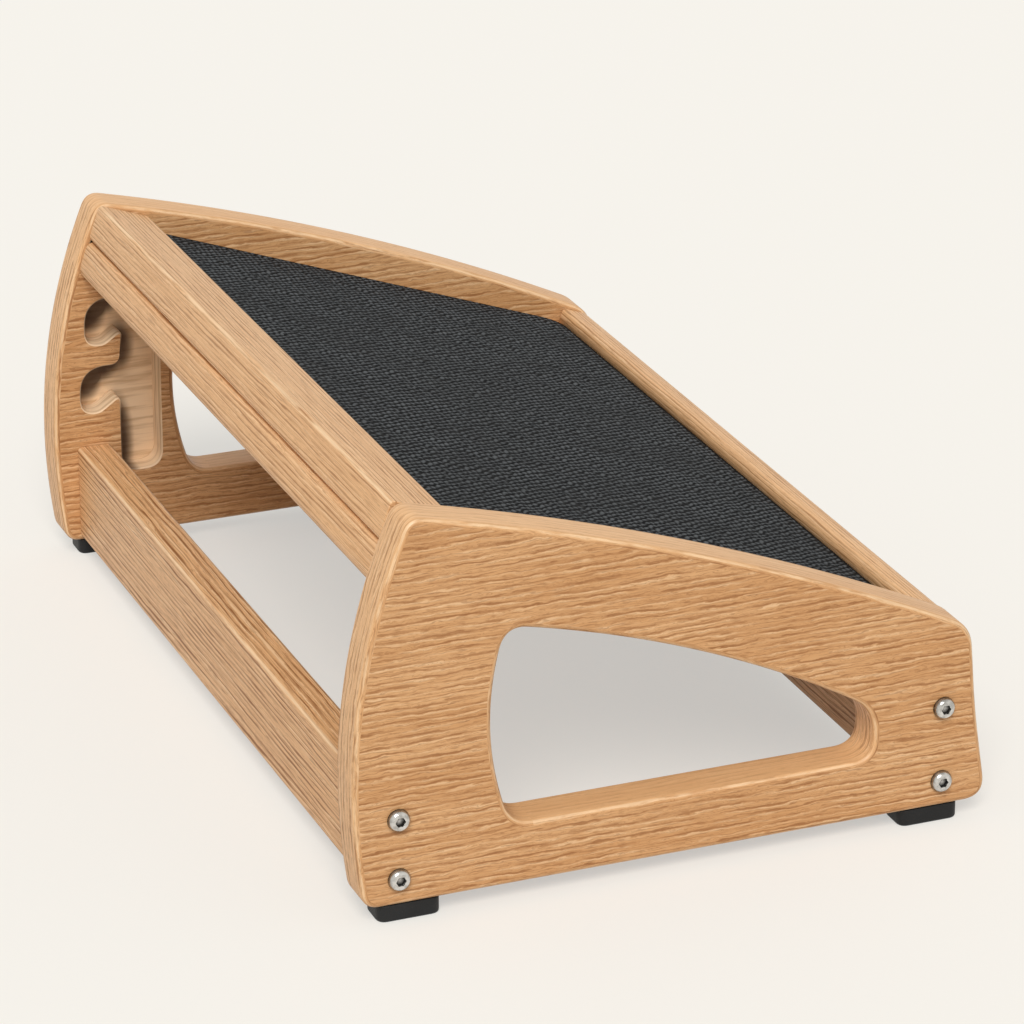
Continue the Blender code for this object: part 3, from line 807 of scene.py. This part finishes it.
PLYWOOD = plywood("birch_plywood_faces")
print("plywood:", len(PLYWOOD.node_tree.nodes), "nodes")

# %% [markdown]
# ## Deck and battens
# The deck sits in the grooves of both rails, and an oak batten stiffens each end from below. They
# show when the platform is lifted.

# %% Deck and battens
DECK_EASE = 0.0005
BATTEN_H = 0.014
BATTEN_ROUND = 0.002
BATTEN_FRONT_U = FRONT_RAIL_U + 0.003
BATTEN_REAR_U = REAR_RAIL_U - 0.006
deck_section = outline(box_corners(front_groove + GAP, rear_groove - GAP, DECK_LOW_N, DECK_TOP_N,
                                   2 * DECK_EASE))
mesh = board("deck", deck_section, [], -PLATFORM_X, PLATFORM_X, DECK_EASE, on_slope, DECK_SHIFT)
set_marks(mesh, lambda normal: 0.0 if abs(normal.x) > 0.5 else 1.0)
dress("plywood_deck", mesh, [PLYWOOD], "platform", "birch_plywood", "deck_board")

batten_top = DECK_LOW_N - GAP
batten_section = outline(box_corners(BATTEN_FRONT_U, BATTEN_REAR_U, batten_top - BATTEN_H, batten_top,
                                     BATTEN_ROUND))
for shift, side in ((11.0, "left"), (12.0, "right")):
    low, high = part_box("side_batten_" + side)
    mesh = board("batten_" + side, batten_section, [], low.x, high.x, SOFT_END, on_slope, shift, False)
    set_marks(mesh, 1.0, panel_wear_and_highlight, RAIL_PALE)
    dress("oak_batten_" + side, mesh, [STRAIGHT_OAK], "platform", "oak", "side_batten_" + side)

# %% [markdown]
# ## Rubber
# The mat is a moulded rubber sheet with rows of small raised grains, laid slantwise. The grains
# follow a rule: a ridge across each row, cut into beads along it, with a little noise so that no row
# is quite straight. Material and shape share this rule, so the paler tops, a painted highlight, lie
# on the raised grains.

# %% Rubber materials
ROW_PITCH = 0.0031
BEAD_LENGTH = 0.0046
SLANT = math.radians(52.5)


def grain_lift(x, y, pitch, length, sine, cosine):
    """Height of the mat's grains, from 0 to 1, at a place on the sheet."""
    wander = streaks(x * 70.0, y * 70.0) - 0.5
    jitter = streaks(x * 210.0, y * 210.0, 3.0, 1.0) - 0.5
    over = (x * sine + y * cosine) / pitch + wander * 1.6 + jitter * 0.8
    along = (x * cosine - y * sine) / length + wander * 2.0 + jitter * 1.2
    ridge = (over.math("FRACT") * math.pi).math("SINE")
    step = over.math("FLOOR") * 0.37
    bead = ((along + step) * math.tau).math("COSINE") * 0.5 + 0.5
    return ridge * (bead * 0.5 + 0.5)


def rubber(name, deep, dust_and_highlight_colour, grit_scale, gloss, shine, grains=False):
    """Matt moulded rubber, paled by dust in clouds; on the mat a painted highlight pales the raised
    grains.
    """
    material, shader, flow = new_material(name)
    shader.inputs["Specular IOR Level"].default_value = shine
    spot = object_place(flow)
    cloud = noise(scaled(spot, 28.0), 4.0)
    grit = noise(scaled(spot, grit_scale), 3.0)
    pale = between(cloud, 0.3, 0.75) * 0.5 + between(grit, 0.5, 0.75) * 0.3
    height = grit
    if grains:
        spread = flow.node("ShaderNodeAttribute", {"attribute_name": "spread"}, None, "Vector")
        lift = grain_lift(part(spread, 0), part(spread, 1), ROW_PITCH, BEAD_LENGTH,
                          math.sin(SLANT), math.cos(SLANT))
        # Painted highlight: the raised grains are paler, with the dust clouds mixed in.
        pale = between(lift, 0.30, 0.95) * (0.6 + pale * 0.5)
        height = grit * 0.3 + lift
    rough = gloss + (cloud - 0.5) * 0.2 + (grit - 0.5) * 0.15
    finish(shader, blend(pale, deep, dust_and_highlight_colour), rough, height, 0.35, 0.0004)
    return material


# The second colour is the pale of dust, and on the mat's raised grains a painted highlight.
MAT_RUBBER = rubber("mat_rubber", rgb(16, 17, 19), rgb(100, 103, 105), 1800.0, 0.72, 0.08, True)
FOOT_RUBBER = rubber("foot_rubber", rgb(20, 21, 22), rgb(44, 45, 46), 1400.0, 0.5, 0.3)
print("rubber materials ready")

# %% [markdown]
# ## Geometry Nodes from Python
# Geometry Nodes make what repeats. A tree gets named inputs, so its sizes can be changed by hand,
# and the Flow class draws its nodes too. Running a tree gives a plain mesh.


# %% Geometry Nodes helpers
def start_tree(name, sizes, objects=()):
    """Geometry Nodes tree with named inputs, and the flows that leave them."""
    tree = bpy.data.node_groups.new(name, "GeometryNodeTree")
    tree.interface.new_socket(name="Geometry", in_out="OUTPUT", socket_type="NodeSocketGeometry")
    kinds = {"Geometry": "Geometry", "Finish": "Material", **dict.fromkeys(sizes, "Float"),
             **dict.fromkeys(objects, "Object")}
    for label, kind in kinds.items():
        made = tree.interface.new_socket(name=label, in_out="INPUT", socket_type="NodeSocket" + kind)
        if label in sizes:
            made.default_value = sizes[label]
    enter = tree.nodes.new("NodeGroupInput")
    return tree, {port.name: Flow(tree, port) for port in enter.outputs if port.name}


def end_tree(flows, shape):
    """Realise the instances, set the finish and close the tree."""
    whole = shape.node("GeometryNodeRealizeInstances", None, {"Geometry": shape})
    done = whole.node("GeometryNodeSetMaterial", None, {"Geometry": whole, "Material": flows["Finish"]})
    done.node("NodeGroupOutput", None, {0: done})


def run_tree(tree, carrier, inputs):
    """Plain mesh that a tree makes on a carrier mesh, with no material yet."""
    holder = add_object(tree.name + "_holder", carrier)
    modifier = holder.modifiers.new("nodes", "NODES")
    modifier.node_group = tree
    names = {item.name: item.identifier for item in tree.interface.items_tree if item.in_out == "INPUT"}
    for label, value in inputs.items():
        modifier[names[label]] = value
    depsgraph = bpy.context.evaluated_depsgraph_get()
    mesh = bpy.data.meshes.new_from_object(holder.evaluated_get(depsgraph), depsgraph=depsgraph)
    bpy.data.objects.remove(holder, do_unlink=True)
    mesh.materials.clear()
    return mesh


# %% [markdown]
# ## Grip mat
# The mat's edge is a rounded slab. On it lies a fine grid, which the rule of the grains lifts. Near
# the rim the grid dips under the slab's top, which hides its cut edge. A skirt and a floor inside
# the slab close it, so that the mat is made of whole solids.

# %% Mat slab and grid sizes
MAT_CORNER = 0.012
MAT_RIM = 0.0004
RELIEF = 0.0008
MAT_BASE_N = MAT_TOP_N - RELIEF
MAT_HALF_X = PLATFORM_X - GAP
MAT_LOW_U = FRONT_RAIL_U + GAP
MAT_HIGH_U = REAR_RAIL_U - GAP
GRID_STEP = 0.00106
GRID_INSET = 0.001
RIM_RUN = 0.0022
RIM_DIP = 0.0004
SKIRT = 0.0004


def lying(level, p, q):
    """Point of a slab that lies flat."""
    return (p, q, level)


slab_shape = outline(box_corners(-MAT_HALF_X, MAT_HALF_X, MAT_LOW_U, MAT_HIGH_U, MAT_CORNER))
slab_mesh = board("mat_slab", slab_shape, [], DECK_TOP_N + GAP, MAT_BASE_N, MAT_RIM, lying, 0.0)
grain_sizes = {
    "Width": 2 * (MAT_HALF_X - GRID_INSET), "Length": MAT_HIGH_U - MAT_LOW_U - 2 * GRID_INSET,
    "Middle": (MAT_LOW_U + MAT_HIGH_U) / 2, "Base": MAT_BASE_N, "Height": MAT_TOP_N - MAT_BASE_N,
    "Row pitch": ROW_PITCH, "Bead length": BEAD_LENGTH, "Slant": SLANT, "Corner": MAT_CORNER}
columns = int(grain_sizes["Width"] / GRID_STEP)
rows = int(grain_sizes["Length"] / GRID_STEP)
print("mat grid", columns, "by", rows)

# %% Mat grains by Geometry Nodes
tree, flows = start_tree("mat_grains", grain_sizes)
width, length, mat_corner, slant = (flows[label] for label in ("Width", "Length", "Corner", "Slant"))
sheet = width.node("GeometryNodeMeshGrid", None, {
    "Size X": width, "Size Y": length, "Vertices X": columns, "Vertices Y": rows})
spot = sheet.node("GeometryNodeInputPosition")
x = part(spot, 0)
y = part(spot, 1)
corner_x = (mat_corner - (width * 0.5 - x.math("ABSOLUTE"))).math("MAXIMUM", 0.0)
corner_y = (mat_corner - (length * 0.5 - y.math("ABSOLUTE"))).math("MAXIMUM", 0.0)
reach = (corner_x * corner_x + corner_y * corner_y).math("SQRT")
past_corner = reach.math("GREATER_THAN", mat_corner + SAME_SPOT)
inside = between(mat_corner - reach, 0.0, RIM_RUN)
lift = grain_lift(x, y, flows["Row pitch"], flows["Bead length"],
                  slant.math("SINE"), slant.math("COSINE"))
rise = flows["Base"] + flows["Height"] * lift * inside - (1.0 - inside) * RIM_DIP
trimmed = sheet.node("GeometryNodeDeleteGeometry", {"domain": "POINT"},
                     {"Geometry": sheet, "Selection": past_corner})
marked = trimmed.node("GeometryNodeStoreNamedAttribute",
                      {"data_type": "FLOAT_VECTOR", "domain": "POINT"},
                      {"Geometry": trimmed, "Name": "spread", "Value": spot})
raised = marked.node("GeometryNodeSetPosition", None, {
    "Geometry": marked, "Offset": place_at(sheet, 0.0, flows["Middle"], rise)})
smooth = raised.node("GeometryNodeSetShadeSmooth", None, {"Geometry": raised})
joined = smooth.node("GeometryNodeJoinGeometry", None, {"Geometry": smooth})
tree.links.new(flows["Geometry"].socket, joined.socket.node.inputs["Geometry"])
end_tree(flows, joined)
mat_mesh = run_tree(tree, slab_mesh, {"Finish": MAT_RUBBER, **grain_sizes})


# %% Closing the sheet
def close_sheet(mesh, drop):
    """Close a sheet's open rim with a skirt and a floor below it."""
    bm = bmesh.new()
    bm.from_mesh(mesh)
    rim = [edge for edge in bm.edges if edge.is_boundary]
    made = bmesh.ops.extrude_edge_only(bm, edges=rim)["geom"]
    for item in made:
        if isinstance(item, bmesh.types.BMVert):
            item.co.z -= drop
    loop = [item for item in made if isinstance(item, bmesh.types.BMEdge) and item.is_boundary]
    bmesh.ops.triangle_fill(bm, use_beauty=True, edges=loop)
    bmesh.ops.recalc_face_normals(bm, faces=bm.faces)
    bm.to_mesh(mesh)
    bm.free()


close_sheet(mat_mesh, SKIRT)
mat_mesh.transform(Matrix.Translation(PIVOT) @ Matrix.Rotation(SLOPE, 4, "X"))
dress("grip_mat_rubber", mat_mesh, [MAT_RUBBER], "platform", "grip_rubber", "grip_mat")

# %% [markdown]
# ## Bolts
# Eight stainless button-head bolts hold the panels to the stretchers. One bolt is turned on a
# lathe in code: a domed head, a hexagon socket sunk in it and the shank. A per-point attribute puts
# painted shade in the socket and a painted darker reflection at the foot of the dome.

# %% Steel material
# Colour of the painted shade in the bolt sockets and at the foot of each dome.
SOCKET_AND_RIM_SHADE_COLOUR = rgb(38, 36, 34)


def steel(name, bright, dull, scale, low_rough):
    """Turned metal with fine scratches."""
    material, shader, flow = new_material(name)
    shader.inputs["Metallic"].default_value = 1.0
    spot = object_place(flow)
    cloud = noise(scaled(spot, scale), 4.0)
    scratch = noise(scaled(spot, (scale, 9.0 * scale, 2.0 * scale)), 3.0)
    # Painted shade from the mesh: a dark socket and a darker reflection at the foot of the dome.
    grime = attribute(flow, "grime")
    colour = blend(between(cloud, 0.35, 0.7), bright, dull)
    colour = blend(grime, colour, SOCKET_AND_RIM_SHADE_COLOUR)
    rough = low_rough + between(scratch, 0.4, 0.7) * 0.12 + (cloud - 0.5) * 0.1 + grime * 0.25
    finish(shader, colour, rough, scratch, 0.08, 0.0001)
    return material


STEEL = steel("stainless_steel", rgb(222, 221, 218), rgb(172, 171, 168), 380.0, 0.12)
ZINC = steel("zinc_plate", rgb(178, 179, 176), rgb(150, 150, 143), 300.0, 0.34)
print("metals ready")

# %% Bolt profile
HEAD_R = 0.00525
HEAD_H = 0.0033
CROWN_R = 0.0029
HEAD_RIM = 0.12
DOME_STEPS = 10
SHANK_R = 0.003
SHANK_CUT = 0.0005
BOLT_L = 0.050
SOCKET_HALF = 0.002
SOCKET_DEPTH = 0.0021
SOCKET_POINT = 0.0005
SOCKET_EASE = 0.0002


def hexagon(turn):
    """Distance from the middle of the hexagon socket to its wall."""
    return SOCKET_HALF / math.cos((turn % (math.pi / 3)) - math.pi / 6)


# Stations are (radius, place along X, painted shade), from the bottom of the socket to the shank's end.
stations = [
    (0.0001, HEAD_H - SOCKET_DEPTH - SOCKET_POINT, 0.2), (hexagon, HEAD_H - SOCKET_DEPTH, 0.95),
    (hexagon, HEAD_H - 0.0003, 0.50),
    (lambda turn: hexagon(turn) + SOCKET_EASE, HEAD_H - 0.00005, 0.0)]
# The dome darkens towards its foot: a painted darker reflection.
for k, turn in enumerate(quarter_turn(DOME_STEPS)):
    radius = CROWN_R + (HEAD_R - CROWN_R) * math.sin(turn)
    along = HEAD_H * (HEAD_RIM + (1.0 - HEAD_RIM) * math.cos(turn))
    stations.append((radius, along, 0.85 * (k / DOME_STEPS) ** 2))
stations += [
    (HEAD_R, 0.0, 1.0), (SHANK_R, 0.0, 1.0),
    (SHANK_R, SHANK_CUT - BOLT_L, 0.0), (SHANK_R - SHANK_CUT, -BOLT_L, 0.0)]
print("bolt profile:", len(stations), "stations")

# %% One bolt
TURNS = 48
SHARP_ANGLE = math.radians(38.0)


def ring_at(bm, radius, along):
    """Ring of vertices about +X; radius may be a function of the turn."""
    ring = []
    for k in range(TURNS):
        turn = math.tau * k / TURNS
        r = radius(turn) if callable(radius) else radius
        ring.append(bm.verts.new((along, r * math.cos(turn), r * math.sin(turn))))
    return ring


bm = bmesh.new()
rings = [ring_at(bm, radius, along) for radius, along, share in stations]
for ring, following in zip(rings, rings[1:]):
    for k in range(TURNS):
        bm.faces.new((ring[k - 1], ring[k], following[k], following[k - 1]))
bm.faces.new(rings[0])
bm.faces.new(rings[-1])
bmesh.ops.recalc_face_normals(bm, faces=bm.faces)
bolt_mesh = bpy.data.meshes.new("bolt_pattern")
bm.to_mesh(bolt_mesh)
bm.free()
bolt_mesh.shade_smooth()
bolt_mesh.set_sharp_from_angle(angle=SHARP_ANGLE)
grime = bolt_mesh.attributes.new("grime", "FLOAT", "POINT")
grime.data.foreach_set("value", [share for radius, along, share in stations for k in range(TURNS)])
print("bolt:", len(bolt_mesh.polygons), "faces")

# %% [markdown]
# ## Copies
# Eight bolts are one shape in eight places, which is just what Instance on Points is for. Each point
# carries its turn about Z, because the two sides look opposite ways.


# %% Copies on points
def copies(name, pattern_mesh, spots, material):
    """One mesh of copies of a pattern at (place, turn about Z) spots."""
    pattern = add_object(name + "_pattern", pattern_mesh)
    carrier = bpy.data.meshes.new(name + "_points")
    carrier.from_pydata([place for place, turn in spots], [], [])
    turns = carrier.attributes.new("turn", "FLOAT", "POINT")
    turns.data.foreach_set("value", [turn for place, turn in spots])
    tree, flows = start_tree(name + "_copies", {"Size": 1.0}, ["Pattern"])
    size = flows["Size"]
    shape = size.node("GeometryNodeObjectInfo", None, {"Object": flows["Pattern"]}, "Geometry")
    turn = shape.node("GeometryNodeInputNamedAttribute", {"data_type": "FLOAT"}, {"Name": "turn"})
    placed = shape.node("GeometryNodeInstanceOnPoints", None, {
        "Points": flows["Geometry"], "Instance": shape,
        "Rotation": place_at(shape, 0.0, 0.0, turn), "Scale": place_at(shape, size, size, size)})
    end_tree(flows, placed)
    mesh = run_tree(tree, carrier, {"Finish": material, "Pattern": pattern, "Size": 1.0})
    bpy.data.objects.remove(pattern, do_unlink=True)
    return mesh


bolt_nodes = sorted(node for node in frame["nodes"] if node.startswith("bolt_"))
bolt_spots = []
for node in bolt_nodes:
    low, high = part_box(node)
    way = 1.0 if high.x > OUTER_X else -1.0
    place = (way * (OUTER_X + GAP), (low.y + high.y) / 2, (low.z + high.z) / 2)
    bolt_spots.append((place, 0.0 if way > 0 else math.pi))
bolts_mesh = copies("bolt", bolt_mesh, bolt_spots, STEEL)
dress("panel_bolts", bolts_mesh, [STEEL], "frame", "stainless_steel", *bolt_nodes)

# %% [markdown]
# ## Rubber feet
# A moulded foot under each panel corner, with soft edges and a recess for its screw. The same copies
# tree sets four of them down.

# %% Feet
FOOT_CORNER = 0.005
FOOT_RIM = 0.0014
RECESS_R = 0.0038
RECESS_STEPS = 32
low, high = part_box("foot_rear_left")
half_x = (high.x - low.x) / 2
half_y = (high.y - low.y) / 2
screw_low, screw_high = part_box("foot_screw_rear_left")
screw_off = (screw_low.y + screw_high.y) / 2 - (low.y + high.y) / 2
foot_shape = outline(box_corners(-half_x, half_x, -half_y, half_y, FOOT_CORNER))
recess_turns = [math.tau * k / RECESS_STEPS for k in range(RECESS_STEPS)]
recess = [(RECESS_R * math.cos(turn), screw_off + RECESS_R * math.sin(turn)) for turn in recess_turns]
foot_mesh = board("foot_pattern", foot_shape, [recess], 0.0, high.z, FOOT_RIM, lying, 0.0)
foot_nodes = sorted(node for node in frame["nodes"] if node.startswith("foot_") and "screw" not in node)
foot_spots = []
for node in foot_nodes:
    low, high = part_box(node)
    toward = 0.0 if low.y > 0 else math.pi
    foot_spots.append((((low.x + high.x) / 2, (low.y + high.y) / 2, 0.0), toward))
feet_mesh = copies("foot", foot_mesh, foot_spots, FOOT_RUBBER)
dress("rubber_feet", feet_mesh, [FOOT_RUBBER], "frame", "black_rubber", *foot_nodes)

# %% [markdown]
# ## Fittings that keep their CAD shape
# The dowels, the pivot parts, the nuts and the foot screws are hidden or nearly so, and their CAD
# shape is already right. They only need a finish. These meshes have no grain map, so the dowels'
# beech reads Object coordinates instead, stretched along X.


# %% Finishes from Object coordinates
def beech(name):
    """Turned beech with short flecks along X."""
    material, shader, flow = new_material(name)
    spot = object_place(flow)
    lines = noise(scaled(spot, (16.0, 190.0, 190.0)), 4.0)
    fibre = noise(scaled(spot, (80.0, 950.0, 950.0)), 2.0)
    colour = blend(between(lines, 0.42, 0.66) * 0.8, rgb(225, 186, 140), rgb(196, 150, 104))
    finish(shader, colour, 0.55 + (fibre - 0.5) * 0.3, lines + fibre * 0.5, 0.3, 0.0003)
    return material


def nylon(name):
    """Moulded nylon, slightly milky."""
    material, shader, flow = new_material(name)
    cloud = noise(scaled(object_place(flow), 220.0), 3.0)
    colour = blend(between(cloud, 0.35, 0.7), rgb(226, 222, 212), rgb(205, 200, 188))
    finish(shader, colour, 0.4 + cloud * 0.2, cloud, 0.1, 0.0002)
    return material


finishes = {"bar_dowel": beech("beech"), "pivot_bush": nylon("nylon"), "pivot_pin": STEEL,
            "barrel_nut": ZINC, "foot_screw": ZINC}
for node, item in frame["nodes"].items():
    for start, material in finishes.items():
        if node.startswith(start):
            item.data.materials.clear()
            item.data.materials.append(material)
print("finished CAD pieces:", sum(node.startswith(tuple(finishes)) for node in frame["nodes"]))

# %% [markdown]
# ## Floor
# The photograph has a plain warm white floor that fills the frame, with a soft shadow. A large pale
# plane gives that. Rays that see it as background also get a share of even white.

# %% Floor
FLOOR_HALF = 8.0
FLOOR_PAPER = rgb(209, 201, 190)
SHADE_FILL = 0.32
GLOW = (1.51, 1.535, 1.50, 1.0)


def background_ray(flow):
    """One for the rays that see the background: straight, mirrored or through glass."""
    rays = [flow.node("ShaderNodeLightPath", None, None, kind) for kind in
            ("Is Camera Ray", "Is Glossy Ray", "Is Transmission Ray")]
    return rays[0].math("MAXIMUM", rays[1]).math("MAXIMUM", rays[2])


floor_mesh = bpy.data.meshes.new("floor")
corners = ((-1, -1), (1, -1), (1, 1), (-1, 1))
floor_mesh.from_pydata([(x * FLOOR_HALF, y * FLOOR_HALF, 0.0) for x, y in corners], [], [(0, 1, 2, 3)])
floor = add_object("floor", floor_mesh)
floor_material, floor_shader, flow = new_material("paper_floor")
floor_shader.inputs["Base Color"].default_value = (*FLOOR_PAPER, 1.0)
floor_shader.inputs["Roughness"].default_value = 0.9
floor_shader.inputs["Specular IOR Level"].default_value = 0.0
glow = flow.node("ShaderNodeEmission", None, {"Color": GLOW, "Strength": 1.0})
lit = Flow(flow.tree, floor_shader.outputs["BSDF"])
shown = flow.node("ShaderNodeMixShader", None, {0: background_ray(flow) * SHADE_FILL, 1: lit, 2: glow})
flow.tree.links.new(shown.socket, flow.tree.nodes["Material Output"].inputs["Surface"])
floor_mesh.materials.append(floor_material)
print("floor", 2 * FLOOR_HALF, "m wide")

# %% [markdown]
# ## Light
# An even sky and one broad sun together light a level surface with about one unit, so that each
# colour comes out as it is written. The background shows the paper colour.

# %% Sky and sun
PAPER = rgb(246, 242, 235)
SKY = 0.52
SUN = 2.22
SUN_ANGLE = math.radians(28.0)
SUN_FROM = Vector((-0.64, 0.30, 0.71))

world = bpy.data.worlds.new("studio")
world.use_nodes = True
bpy.context.scene.world = world
world.node_tree.nodes.clear()
sky = Flow(world.node_tree)
light = sky.node("ShaderNodeBackground", None, {"Color": (1.0, 1.0, 1.0, 1.0), "Strength": SKY})
paper = sky.node("ShaderNodeBackground", None, {"Color": (*PAPER, 1.0), "Strength": 1.0})
mixed = sky.node("ShaderNodeMixShader", None, {0: background_ray(sky), 1: light, 2: paper})
sky.node("ShaderNodeOutputWorld", None, {"Surface": mixed})

sun_data = bpy.data.lights.new("sun", "SUN")
sun_data.energy = SUN
sun_data.angle = SUN_ANGLE
sun = add_object("sun", sun_data)
sun.rotation_euler = SUN_FROM.to_track_quat("Z", "Y").to_euler()
print("sky", SKY, "sun", SUN)

# %% [markdown]
# ## Camera
# The photograph looks down from behind the stool's left panel with a long lens. The camera's
# back vector follows from the two angles, and the target is a point inside the stool.

# %% Camera
AZIMUTH = math.radians(248.1)
ELEVATION = math.radians(22.6)
DISTANCE = 2.24
TARGET = Vector((-0.0348, -0.0002, 0.0987))
back = Vector((math.sin(AZIMUTH) * math.cos(ELEVATION), -math.cos(AZIMUTH) * math.cos(ELEVATION),
               math.sin(ELEVATION)))
camera_data = bpy.data.cameras.new("camera")
camera_data.lens = 163.9
camera_data.sensor_width = 36.0
camera = add_object("camera", camera_data)
camera.location = TARGET + back * DISTANCE
camera.rotation_euler = back.to_track_quat("Z", "Y").to_euler()
bpy.context.scene.camera = camera
bpy.context.scene.view_settings.view_transform = "Standard"
print("camera at", tuple(round(v, 3) for v in camera.location))
